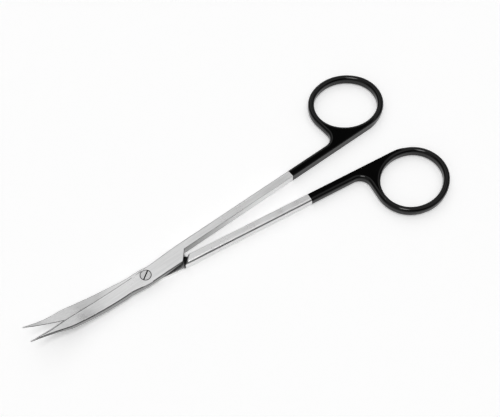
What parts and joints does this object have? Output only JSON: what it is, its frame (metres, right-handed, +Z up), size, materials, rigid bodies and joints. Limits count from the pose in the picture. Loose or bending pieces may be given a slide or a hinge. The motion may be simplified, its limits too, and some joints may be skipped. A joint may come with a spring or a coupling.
{
  "type": "dissecting scissors",
  "caption": "Fine dissecting scissors with slender upward-curved blades, long straight shanks, black-coated oval finger rings and a slotted pivot screw.",
  "frame": {"origin": "on the pivot axis, at the flat underside of the joint that the scissors rest on", "axes": "+X along the line that halves the opening, from the pivot towards the finger rings; +Z up, along the pivot axis, the way the blade tips curve; +Y towards the ring of the front half"},
  "size_m": [0.1785, 0.0752, 0.0119],
  "materials": {
    "blade_steel": "satin stainless steel, with a gloss black coat on rings and rear shanks",
    "screw_steel": "satin stainless steel"
  },
  "bodies": {
    "rear_half": {"rear_half": "blade_steel", "pivot_screw": "screw_steel"},
    "front_half": {"front_half": "blade_steel"}
  },
  "joints": [
    {"name": "pivot", "type": "hinge", "parent": "rear_half", "child": "front_half", "pos_m": [0, 0, 0.00185], "axis": [0, 0, 1], "range_deg": [-7.56, 82.44]}
  ]
}
